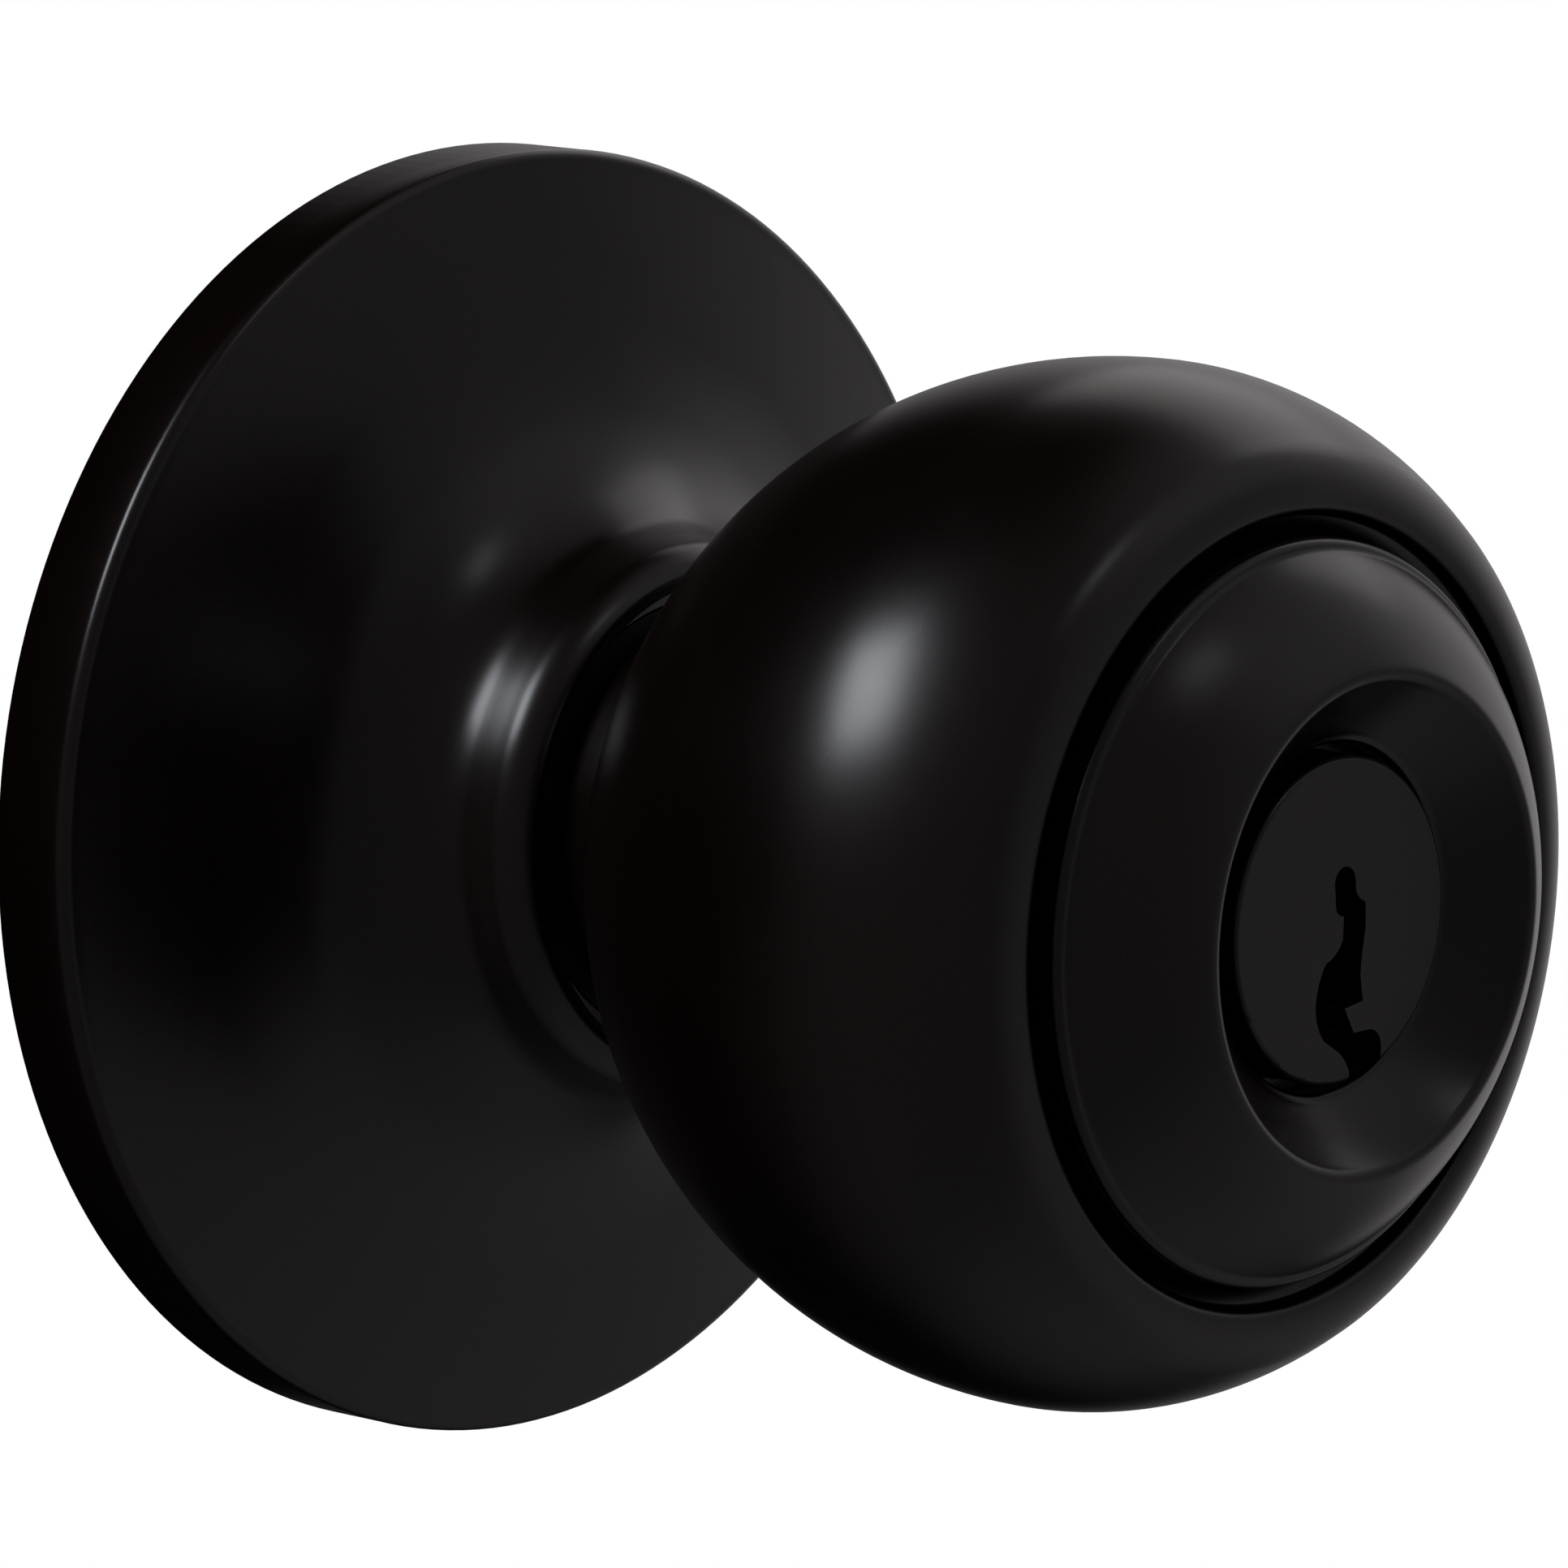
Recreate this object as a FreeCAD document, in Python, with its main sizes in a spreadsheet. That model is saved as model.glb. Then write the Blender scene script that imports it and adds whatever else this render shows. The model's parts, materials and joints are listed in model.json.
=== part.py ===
import FreeCAD, Part
import math
import os

import Sketcher

# A keyed-entry ball door knob: the outside trim, its key cylinder and the spring latch it works.
# Frame: the origin is the centre of the rose's back face, where it meets the door. +Y goes into the
# door, -Y is the knob's axis towards the user, +Z is up and +X points to the door's edge.
# "Out" below is a distance from the door's face towards the user, so y = -out.

DRIVING = {
    # rose
    "rose_radius": 33.0,
    "rose_edge_out": 4.8,
    "sheet_wall": 1.2,
    "collar_radius": 14.3,
    "collar_lip_radius": 12.9,
    "collar_bore": 12.2,
    "collar_out": 16.8,
    "collar_foot_out": 13.4,
    "rose_knee_radius": 25.0,
    "rose_knee_out": 6.4,
    "cove_radius": 20.2,
    "cove_out": 7.75,
    "cove_top_radius": 14.9,
    "cove_top_out": 11.9,
    # liner plate and posts
    "liner_out": 0.3,
    "liner_wall": 1.5,
    "post_spacing": 38.0,
    "post_radius": 4.0,
    "post_depth": 18.0,
    "post_thread_radius": 2.1,
    # ball
    "ball_radius": 25.35,
    "ball_out": 43.0,
    "mouth_radius": 18.9,
    "mouth_out": 54.2,
    "shoulder_radius": 22.3,
    "shoulder_out": 52.6,
    "ledge_out": 53.2,
    "ledge_radius": 16.5,
    # shank and its bearing
    "shank_radius": 11.0,
    "shank_bore": 8.2,
    "shank_neck": 9.5,
    "shank_end_out": 5.0,
    "cam_out": 7.2,
    "cam_wall": 1.2,
    "running_gap": 0.06,
    "bush_radius": 15.0,
    "bush_back_out": 9.2,
    "bush_wall": 1.0,
    "bush_front_out": 15.0,
    "ring_groove_out": 6.3,
    "ring_groove_width": 0.8,
    "ring_groove_depth": 0.6,
    # face insert
    "insert_radius": 17.8,
    "crest_radius": 11.7,
    "crest_out": 59.3,
    "insert_hole": 8.3,
    "insert_hole_out": 56.2,
    "insert_wall": 1.1,
    "insert_edge_out": 54.8,
    # key cylinder
    "plug_radius": 6.4,
    "plug_head_radius": 7.8,
    "plug_face_out": 57.0,
    "plug_head_length": 3.9,
    "plug_tail_out": 27.0,
    "plug_neck_radius": 5.5,
    "plug_neck_length": 1.9,
    "housing_radius": 8.9,
    "housing_front_out": 54.3,
    "housing_back_out": 29.0,
    "tower_half": 3.8,
    "tower_top": 15.0,
    "cover_wall": 0.8,
    "cover_half": 2.5,
    "cover_length": 21.2,
    "tower_set_back": 2.2,
    "pin_radius": 1.45,
    "pin_hole": 1.5,
    "first_pin_out": 49.6,
    "pin_pitch": 3.9,
    "driver_length": 3.0,
    "key_pin_rest": 0.7,
    "fine_gap": 0.05,
    # spindle and tailpiece
    "spindle_radius": 4.3,
    "spindle_bore": 3.0,
    "spindle_flat": 3.6,
    "spindle_depth": 27.5,
    "blade_half": 2.5,
    "blade_wall": 1.4,
    "blade_depth": 33.0,
    # latch
    "latch_depth": 17.5,
    "backset": 60.0,
    "throw": 10.2,
    "turn": 80.0,
    "case_half_y": 6.5,
    "case_half_z": 10.7,
    "case_wall": 1.2,
    "case_start": 2.0,
    "tube_start": 31.0,
    "tube_wall": 1.1,
    "sleeve_wall": 0.9,
    "sleeve_length": 10.0,
    "rod_radius": 1.6,
    "rod_set_back": 6.0,
    "bolt_pin_radius": 1.0,
    "bolt_pin_set_back": 9.0,
    "bolt_tail_set_back": 13.0,
    "hub_radius": 6.9,
    "hub_waist": 5.6,
    "arm_reach": 8.0,
    "arm_tip": 1.15,
    "collar_fit_radius": 12.7,
    "bolt_half_y": 5.4,
    "bolt_half_z": 7.3,
}
PIN_COUNT = 5
TAB_HALF = 1.5
KEY_PIN_LENGTHS = (4.4, 3.4, 4.9, 3.9, 4.1)
AXIS_ROTATION = {
    "X": FreeCAD.Rotation(FreeCAD.Vector(0, 1, 0), 90),
    "Y": FreeCAD.Rotation(FreeCAD.Vector(1, 0, 0), 90),
    "Z": FreeCAD.Rotation(),
}

doc = FreeCAD.newDocument("BallKnob")
sheet = doc.addObject("Spreadsheet::Sheet", "Sheet")
parts = []


class Size:
    """A length from the sheet: its value now and the expression that works it out."""

    def __init__(self, value, text):
        self.value = value
        self.text = text

    def __add__(self, other):
        return combined(self, "+", other, number(self) + number(other))

    def __radd__(self, other):
        return combined(other, "+", self, number(other) + number(self))

    def __sub__(self, other):
        return combined(self, "-", other, number(self) - number(other))

    def __rsub__(self, other):
        return combined(other, "-", self, number(other) - number(self))

    def __mul__(self, other):
        return combined(self, "*", other, number(self) * number(other))

    def __rmul__(self, other):
        return combined(other, "*", self, number(other) * number(self))

    def __truediv__(self, other):
        return combined(self, "/", other, number(self) / number(other))

    def __neg__(self):
        return 0 - self


def number(size):
    return size.value if isinstance(size, Size) else float(size)


def written(size):
    return size.text if isinstance(size, Size) else repr(float(size))


def combined(left, sign, right, value):
    return Size(value, f"({written(left)} {sign} {written(right)})")


def square_root(size):
    return Size(math.sqrt(number(size)), f"sqrt({written(size)})")


def read_sheet():
    """Fills the sheet and gives each driving dimension as a Size."""
    sizes = {}
    for row, (name, value) in enumerate(DRIVING.items(), start=1):
        sheet.set(f"A{row}", name)
        sheet.set(f"B{row}", str(value))
        sheet.setAlias(f"B{row}", name)
        sizes[name] = Size(value, f"Sheet.{name}")
    doc.recompute()
    return sizes


d = read_sheet()


def bind(thing, path, size):
    """Sets a property from a size, and ties it to the sheet where the size comes from there."""
    if isinstance(size, Size):
        thing.setExpression(path, size.text)
    else:
        thing.setExpression(path, repr(float(size)))


def new_body(label):
    body = doc.addObject("PartDesign::Body", label)
    body.Label = label
    parts.append(body)
    return body


def new_sketch(body, name, plane, offset=0.0):
    sketch = body.newObject("Sketcher::SketchObject", name)
    origin = [f for f in body.Origin.OriginFeatures if f.Role == plane][0]
    sketch.AttachmentSupport = [(origin, "")]
    sketch.MapMode = "FlatFace"
    sketch.AttachmentOffset = FreeCAD.Placement(FreeCAD.Vector(0, 0, number(offset)), FreeCAD.Rotation())
    if isinstance(offset, Size):
        bind(sketch, ".AttachmentOffset.Base.z", offset)
    return sketch


def fix_coordinate(sketch, kind, axis, geometry, point, size):
    """Holds one coordinate of a point, on the axis where it is zero."""
    value = number(size)
    if abs(value) < 1e-9:
        sketch.addConstraint(Sketcher.Constraint("PointOnObject", geometry, point, axis))
        return
    index = sketch.addConstraint(Sketcher.Constraint(kind, -1, 1, geometry, point, value))
    if isinstance(size, Size):
        bind(sketch, f"Constraints[{index}]", size)


def fix_point(sketch, geometry, point, x, y):
    fix_coordinate(sketch, "DistanceX", -2, geometry, point, x)
    fix_coordinate(sketch, "DistanceY", -1, geometry, point, y)


def fix_radius(sketch, geometry, radius):
    index = sketch.addConstraint(Sketcher.Constraint("Radius", geometry, number(radius)))
    if isinstance(radius, Size):
        bind(sketch, f"Constraints[{index}]", radius)


def arc_between(start, end, radius):
    """The short arc from start to end, turning left for a positive radius."""
    chord = end - start
    half = chord.Length / 2
    rise = math.sqrt(max(radius * radius - half * half, 0.0))
    left = FreeCAD.Vector(-chord.y, chord.x, 0).normalize()
    centre = start + chord * 0.5 + left * math.copysign(rise, radius)
    circle = Part.Circle(centre, FreeCAD.Vector(0, 0, 1), abs(radius))
    first, last = (start, end) if radius > 0 else (end, start)
    return Part.ArcOfCircle(circle, circle.parameter(first), circle.parameter(last))


def add_loop(sketch, corners):
    """Draws a closed loop through (x, y) corners. A third value is the radius of the arc that arrives
    at the corner, positive where it turns left."""
    first = sketch.GeometryCount
    count = len(corners)
    spots = [FreeCAD.Vector(number(c[0]), number(c[1]), 0) for c in corners]
    heads, tails = [], []
    for i, corner in enumerate(corners):
        start, end = spots[i - 1], spots[i]
        is_arc = len(corner) == 3
        if is_arc:
            sketch.addGeometry(arc_between(start, end, number(corner[2])))
        else:
            sketch.addGeometry(Part.LineSegment(start, end))
        clockwise = is_arc and number(corner[2]) < 0
        heads.append(1 if clockwise else 2)
        tails.append(2 if clockwise else 1)
    for i, corner in enumerate(corners):
        after = (i + 1) % count
        joint = Sketcher.Constraint("Coincident", first + i, heads[i], first + after, tails[after])
        sketch.addConstraint(joint)
        fix_point(sketch, first + i, heads[i], corner[0], corner[1])
        if len(corner) == 3:
            radius = corner[2]
            fix_radius(sketch, first + i, -radius if number(radius) < 0 else radius)


def add_circle(sketch, x, y, radius):
    centre = FreeCAD.Vector(number(x), number(y), 0)
    index = sketch.addGeometry(Part.Circle(centre, FreeCAD.Vector(0, 0, 1), number(radius)))
    fix_point(sketch, index, 3, x, y)
    fix_radius(sketch, index, radius)


def draw(sketch, loops):
    """Each loop is a list of corners, or a circle as (x, y, radius)."""
    for loop in loops:
        if isinstance(loop, tuple):
            add_circle(sketch, *loop)
        else:
            add_loop(sketch, loop)


def rectangle(left, right, bottom, top):
    return [(left, bottom), (right, bottom), (right, top), (left, top)]


def finish_feature(body, feature):
    """Works the feature out, and stops the build where it failed or changed nothing."""
    before = body.Shape.Volume if body.Shape and not body.Shape.isNull() else 0.0
    body.Tip = feature
    doc.recompute()
    if "Invalid" in feature.State or "Error" in feature.State:
        raise RuntimeError(f"{body.Label}: {feature.Label} failed")
    if abs(body.Shape.Volume - before) < 1e-6:
        raise RuntimeError(f"{body.Label}: {feature.Label} changed nothing")
    return feature


def turned(body, name, corners, cut=False, plane="XY_Plane"):
    """Turns a profile of (radius, out) corners round the knob's axis, or (radius, z) round Z on XZ."""
    sketch = new_sketch(body, name + "Profile", plane)
    if plane == "XY_Plane":
        profile = [(c[0], -c[1]) + tuple(-r for r in c[2:]) for c in corners]
    else:
        profile = corners
    add_loop(sketch, profile)
    kind = "PartDesign::Groove" if cut else "PartDesign::Revolution"
    feature = body.newObject(kind, name)
    feature.Profile = sketch
    feature.ReferenceAxis = (sketch, ["V_Axis"])
    feature.Angle = 360
    return finish_feature(body, feature)


def raised(body, name, plane, start, length, loops):
    """Pads loops from start along the plane's normal: out on XZ, up on XY, towards the edge on YZ."""
    sketch = new_sketch(body, name + "Outline", plane, start)
    draw(sketch, loops)
    feature = body.newObject("PartDesign::Pad", name)
    feature.Profile = sketch
    bind(feature, "Length", length)
    return finish_feature(body, feature)


def sunk(body, name, plane, start, depth, loops):
    """Cuts loops from start back against the plane's normal."""
    sketch = new_sketch(body, name + "Outline", plane, start)
    draw(sketch, loops)
    feature = body.newObject("PartDesign::Pocket", name)
    feature.Profile = sketch
    bind(feature, "Length", depth)
    return finish_feature(body, feature)


def ring(label, inner, outer, low, high):
    """A plain turned ring between two distances out."""
    body = new_body(label)
    turned(body, "Ring", [(inner, low), (outer, low), (outer, high), (inner, high)])
    return body


def coil(label, axis, place, radius, wire, pitch, length):
    """A round-wire coil along an axis, starting at place."""
    body = new_body(label)
    sketch = new_sketch(body, "Wire", "XZ_Plane")
    add_circle(sketch, radius, wire, wire)
    helix = body.newObject("PartDesign::AdditiveHelix", "Coil")
    helix.Profile = sketch
    helix.ReferenceAxis = (sketch, ["V_Axis"])
    helix.Mode = 0
    bind(helix, "Pitch", pitch)
    bind(helix, "Height", length - 2 * wire)
    finish_feature(body, helix)
    body.Placement = FreeCAD.Placement(FreeCAD.Vector(*[number(v) for v in place]), AXIS_ROTATION[axis])
    for letter, size in zip("xyz", place):
        if isinstance(size, Size):
            bind(body, f".Placement.Base.{letter}", size)
    return body


# ---- The rose and what is fixed to the door ----

def make_rose():
    """The spun rose: an upright rim with a tight front edge, a face that climbs almost straight and then
    curls through a wide cove, and a short collar that closes in to its lip. The inside follows behind."""
    body = new_body("rose")
    rim = d["rose_radius"]
    wall = d["sheet_wall"]
    edge = d["rose_edge_out"]
    edge_round = 0.65
    lip = d["collar_lip_radius"]
    bore = d["collar_bore"]
    inner_rim = rim - wall
    turned(body, "Shell", [
        (inner_rim, 0),
        (rim, 0),
        (rim - 0.05, edge - 0.75),
        (rim - edge_round, edge, edge_round),
        (d["rose_knee_radius"], d["rose_knee_out"], 300),
        (d["cove_radius"], d["cove_out"], -30),
        (d["cove_top_radius"], d["cove_top_out"], -11),
        (d["collar_radius"], d["collar_foot_out"], -4),
        (lip + 0.75, d["collar_out"] - 1.0, 9),
        (lip, d["collar_out"], 1.2),
        (bore, d["collar_out"]),
        (bore, 10.6),
        (bore + 3.0, 10.4),
        (bore + 4.4, 8.6),
        (d["cove_radius"], d["cove_out"] - 1.0),
        (inner_rim - 0.3, edge - 1.3),
        (inner_rim, 2.5),
    ])
    return body


def make_liner_plate():
    """The steel plate that backs the rose and carries the posts."""
    body = new_body("liner_plate")
    start = d["liner_out"]
    edge = d["rose_radius"] - d["sheet_wall"] - d["running_gap"]
    raised(body, "Disc", "XZ_Plane", start, d["liner_wall"], [(0, 0, edge)])
    posts = [(0, side * d["post_spacing"] / 2, d["post_radius"]) for side in (1, -1)]
    loops = [(0, 0, d["shank_bore"])] + posts
    sunk(body, "Holes", "XZ_Plane", start + d["liner_wall"], d["liner_wall"] + 0.1, loops)
    return body


def make_posts():
    """Two tapped posts, staked through the liner plate, that the inside screws pull on."""
    body = new_body("mounting_posts")
    front = d["liner_out"] + d["liner_wall"]
    centres = [side * d["post_spacing"] / 2 for side in (1, -1)]
    depth = d["post_depth"]
    radius = d["post_radius"]
    raised(body, "Shanks", "XZ_Plane", -depth, depth + front, [(0, z, radius) for z in centres])
    head_wall = 1.0
    head_radius = radius + 1.0
    raised(body, "Heads", "XZ_Plane", front, head_wall, [(0, z, head_radius) for z in centres])
    bores = [(0, z, d["post_thread_radius"]) for z in centres]
    tapped = 15.0
    sunk(body, "Tapped", "XZ_Plane", -depth + tapped, tapped + 0.1, bores)
    return body


def make_spring_cage():
    """The cup that the return spring lies in, with the fixed stop between the spring's legs."""
    body = new_body("spring_cage")
    back = d["liner_out"] + d["liner_wall"]
    floor = back + 1.2
    wall = 0.8
    inner = 9.0
    foot = 10.2
    rim = 20.2
    rim_front = d["cam_out"] - 0.7
    turned(body, "Cup", [
        (inner, back),
        (foot, back),
        (foot, floor),
        (rim, floor),
        (rim, rim_front),
        (rim - 1.0, rim_front),
        (rim - 1.0, floor + wall),
        (inner, floor + wall),
    ])
    stop = [rectangle(-TAB_HALF, TAB_HALF, 11.4, 12.7)]
    raised(body, "Stop", "XZ_Plane", floor, 3.7, stop)
    return body


def make_return_spring():
    """A torsion spring of nearly two turns round the shank. Its two legs turn in on either side of the
    cage's stop and the cam plate's tab."""
    wire = 0.5
    radius = 17.4
    pitch = 1.05
    leg_start = 11.8
    gap_angle = 20.0
    turns = 2.0 - gap_angle / 360.0
    climb = pitch * turns
    body = coil("return_spring", "Y", (0, -3.9, 0), radius, wire, pitch, climb + 2 * wire)
    for name, angle, height in (("FirstLeg", 0.0, wire), ("LastLeg", -gap_angle, wire + climb)):
        leg = body.newObject("PartDesign::AdditiveCylinder", name)
        leg.Radius = wire
        leg.Height = radius - leg_start
        inward = FreeCAD.Rotation(FreeCAD.Vector(0, 0, 1), angle)
        foot = inward.multVec(FreeCAD.Vector(leg_start, 0, height))
        leg.Placement = FreeCAD.Placement(foot, inward * FreeCAD.Rotation(FreeCAD.Vector(0, 1, 0), 90))
        finish_feature(body, leg)
    first_at = FreeCAD.Rotation(FreeCAD.Vector(0, 0, 1), 90 + gap_angle / 2)
    body.Placement = FreeCAD.Placement(body.Placement.Base, AXIS_ROTATION["Y"] * first_at)
    return body


def make_shank_bush():
    """The flanged plastic bearing in the rose's collar that the knob's shank runs in."""
    body = new_body("shank_bush")
    inner = d["shank_radius"] + d["running_gap"]
    back = d["bush_back_out"]
    flange = back + d["bush_wall"]
    turned(body, "Bush", [
        (inner, back),
        (d["bush_radius"], back),
        (d["bush_radius"], flange),
        (d["collar_bore"], flange),
        (d["collar_bore"], d["bush_front_out"]),
        (inner, d["bush_front_out"]),
    ])
    return body


# ---- The knob and what turns with it ----

def make_knob_shell():
    """The hollow ball: a sphere behind its widest place, drawn in to a rounded shoulder in front."""
    body = new_body("knob_shell")
    ball = d["ball_radius"]
    wall = d["sheet_wall"]
    centre = d["ball_out"]
    shank = d["shank_radius"]
    inside = ball - wall
    turned(body, "Shell", [
        (shank, centre - square_root(ball * ball - shank * shank)),
        (ball, centre, ball),
        (d["shoulder_radius"], d["shoulder_out"], 16.3),
        (d["mouth_radius"] + 0.4, d["mouth_out"], 3.4),
        (d["mouth_radius"], d["mouth_out"] - 0.3, 0.4),
        (d["mouth_radius"], d["ledge_out"]),
        (d["ledge_radius"], d["ledge_out"]),
        (d["ledge_radius"], d["ledge_out"] - 1.1),
        (d["mouth_radius"] + 1.8, d["ledge_out"] - 1.1),
        (d["shoulder_radius"] - 1.0, d["shoulder_out"] - 0.8),
        (inside, centre, -15.1),
        (shank, centre - square_root(inside * inside - shank * shank), -inside),
    ])
    return body


def make_knob_shank():
    """The neck tube, flared inside the ball where it is brazed to the shell."""
    body = new_body("knob_shank")
    centre = d["ball_out"]
    inside = d["ball_radius"] - d["sheet_wall"]
    inner = inside - d["sheet_wall"]
    outer = d["shank_radius"]
    bore = d["shank_bore"]
    flare = 16.0
    flare_inner = flare - 0.8
    turned(body, "Tube", [
        (bore, d["shank_end_out"]),
        (d["shank_neck"], d["shank_end_out"]),
        (d["shank_neck"], d["cam_out"] + d["cam_wall"]),
        (outer, d["cam_out"] + d["cam_wall"]),
        (outer, centre - square_root(inside * inside - outer * outer)),
        (flare, centre - square_root(inside * inside - flare * flare), inside),
        (flare_inner, centre - square_root(inner * inner - flare_inner * flare_inner)),
        (bore, centre - square_root(inner * inner - bore * bore), -inner),
    ])
    # the groove for the ring that keeps the cam plate on
    low = d["ring_groove_out"]
    high = low + d["ring_groove_width"]
    floor = d["shank_neck"] - d["ring_groove_depth"]
    clear = d["shank_neck"] + 1.0
    turned(body, "RingGroove", [(floor, low), (clear, low), (clear, high), (floor, high)], cut=True)
    return body


def make_face_insert():
    """The convex ring in the ball's mouth, dished in the middle round the key plug."""
    body = new_body("face_insert")
    outer = d["insert_radius"]
    crest = d["crest_radius"]
    hole = d["insert_hole"]
    wall = d["insert_wall"]
    edge = d["insert_edge_out"]
    turned(body, "Ring", [
        (outer - wall, d["ledge_out"]),
        (outer, d["ledge_out"]),
        (outer, edge - 0.5),
        (outer - 0.5, edge, 0.5),
        (crest + 0.4, d["crest_out"] - 0.05, 14),
        (crest - 0.2, d["crest_out"] - 0.25, 0.6),
        (hole + 0.3, d["insert_hole_out"] + 0.1, -22),
        (hole, d["insert_hole_out"] - 0.2, 0.4),
        (hole, d["insert_hole_out"] - 1.0),
        (crest - 0.4, d["crest_out"] - 1.4, 22),
        (crest + 0.2, d["crest_out"] - 1.3),
        (outer - wall, edge - 0.6, -13),
    ])
    return body


def make_thrust_washer():
    """The washer between the cam plate and the bush's flange."""
    back = d["cam_out"] + d["cam_wall"] + 0.02
    return ring("thrust_washer", d["shank_radius"], d["bush_radius"], back, d["bush_back_out"] - 0.05)


def make_cam_plate():
    """The plate staked on the shank's neck, with a tab bent back between the return spring's legs."""
    body = new_body("cam_plate")
    neck = d["shank_neck"]
    rim = 15.2
    front = d["cam_out"] + d["cam_wall"]
    turned(body, "Disc", [(neck, d["cam_out"]), (rim, d["cam_out"]), (rim, front), (neck, front)])
    tab = 3.0
    outline = [rectangle(-TAB_HALF, TAB_HALF, 13.3, 14.7)]
    raised(body, "Tab", "XZ_Plane", d["cam_out"] - tab, tab, outline)
    return body


def make_retaining_ring():
    """An open ring in the neck's groove."""
    body = new_body("retaining_ring")
    inner = d["shank_neck"] - d["ring_groove_depth"]
    outer = inner + 2.2
    low = d["ring_groove_out"] + 0.05
    high = d["ring_groove_out"] + d["ring_groove_width"] - 0.05
    turned(body, "Ring", [(inner, low), (outer, low), (outer, high), (inner, high)])
    gap_half = 2.5
    sunk(body, "Gap", "XZ_Plane", high + 0.05, 0.8, [rectangle(-gap_half, gap_half, -12.5, -5.0)])
    return body


def make_spindle_carrier():
    """The disc in the shank's end that the spindle is held in."""
    back = d["shank_end_out"] + 0.2
    return ring("spindle_carrier", d["spindle_radius"], d["shank_bore"], back, back + 4.2)


def make_spindle():
    """The hollow spindle: round in its carrier, with a flat where it drives the latch's hub."""
    body = new_body("spindle")
    depth = d["spindle_depth"]
    front = 11.0
    flat_front = 2.0
    clear = 6.0
    raised(body, "Tube", "XZ_Plane", -depth, depth + front, [(0, 0, d["spindle_radius"])])
    sunk(body, "Bore", "XZ_Plane", front, depth + front + 0.1, [(0, 0, d["spindle_bore"])])
    flat = [rectangle(d["spindle_flat"], clear, -clear, clear)]
    sunk(body, "Flat", "XZ_Plane", flat_front, depth + flat_front + 0.1, flat)
    return body


def make_cylinder_spacer():
    """The tube that holds the key cylinder forward against the face insert."""
    inner = 9.0
    outer = 12.4
    back = 23.8
    return ring("cylinder_spacer", inner, outer, back, d["housing_back_out"])


def make_cylinder_housing():
    """The cylinder's body: a barrel round the plug and a tower above it for the pins and springs."""
    body = new_body("cylinder_housing")
    front = d["housing_front_out"]
    back = d["housing_back_out"]
    half = d["tower_half"]
    top = d["tower_top"]
    raised(body, "Barrel", "XZ_Plane", back, front - back, [(0, 0, d["housing_radius"])])
    inside_barrel = 5.0
    tower = [rectangle(-half, half, inside_barrel, top)]
    tower_front = front - d["tower_set_back"]
    raised(body, "Tower", "XZ_Plane", back, tower_front - back, tower)
    bore = d["plug_radius"] + d["fine_gap"]
    sunk(body, "Bore", "XZ_Plane", front, front - back + 0.1, [(0, 0, bore)])
    shoulder = d["plug_face_out"] - d["plug_head_length"]
    mouth = d["plug_head_radius"] + d["fine_gap"]
    sunk(body, "HeadSeat", "XZ_Plane", front, front - shoulder, [(0, 0, mouth)])
    cover = [rectangle(-d["cover_half"], d["cover_half"], top - d["cover_wall"], top + 1.0)]
    sunk(body, "CoverSlot", "XZ_Plane", tower_front, d["cover_length"], cover)
    holes = [(0, -pin_out(i), d["pin_hole"]) for i in range(PIN_COUNT)]
    sunk(body, "PinHoles", "XY_Plane", top, top - 3.0, holes)
    return body


def pin_out(index):
    """How far out a pin chamber's axis is, counted from the front."""
    return d["first_pin_out"] - index * d["pin_pitch"]


def make_chamber_cover():
    """The strip that slides in over the pin chambers and holds the springs down."""
    body = new_body("chamber_cover")
    top = d["tower_top"]
    front = d["housing_front_out"] - d["tower_set_back"]
    strip = [rectangle(-d["cover_half"], d["cover_half"], top - d["cover_wall"], top)]
    raised(body, "Strip", "XZ_Plane", front - d["cover_length"], d["cover_length"], strip)
    return body


# ---- The plug, its pins and its tailpiece ----

def keyway_outline(bottom):
    """The keyway seen from the front: a slit with a round top, a step to the right, a bulge to the
    left, a ward standing in from the right, and an open foot through the plug's underside."""
    return [
        (0.8, bottom),
        (3.0, bottom),
        (3.1, -6.7),
        (2.2, -5.5, 0.95),
        (1.05, -5.5),
        (0.35, -4.25),
        (1.7, -4.05),
        (1.5, -2.8),
        (1.85, -0.6, -12),
        (1.8, 0.7, 9),
        (1.1, 1.3, -1.0),
        (1.05, 1.85),
        (-0.5, 1.85, 0.78),
        (-0.4, 0.6),
        (0.2, 0.2, 0.6),
        (0.15, -0.9),
        (-1.1, -1.9, -1.9),
        (-1.85, -3.9, 3.6),
        (-1.2, -5.6, 2.6),
        (-0.2, -6.2),
        (0.7, -7.3, -2.4),
    ]


def make_plug():
    """The plug: a headed barrel with the keyway cut along it and the key pins' holes from above."""
    body = new_body("plug")
    face = d["plug_face_out"]
    head_back = face - d["plug_head_length"]
    tail = d["plug_tail_out"]
    neck_front = tail + d["plug_neck_length"]
    eased = 0.25
    turned(body, "Barrel", [
        (0, tail),
        (d["plug_neck_radius"], tail),
        (d["plug_neck_radius"], neck_front),
        (d["plug_radius"], neck_front),
        (d["plug_radius"], head_back),
        (d["plug_head_radius"], head_back),
        (d["plug_head_radius"], face - eased),
        (d["plug_head_radius"] - eased, face, 0.3),
        (0, face),
    ])
    below_head = -8.4
    sunk(body, "Keyway", "XZ_Plane", face, face - neck_front, [keyway_outline(below_head)])
    holes = [(0, -pin_out(i), d["pin_hole"]) for i in range(PIN_COUNT)]
    start = 7.0
    sunk(body, "PinHoles", "XY_Plane", start, 6.4, holes)
    return body


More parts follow.
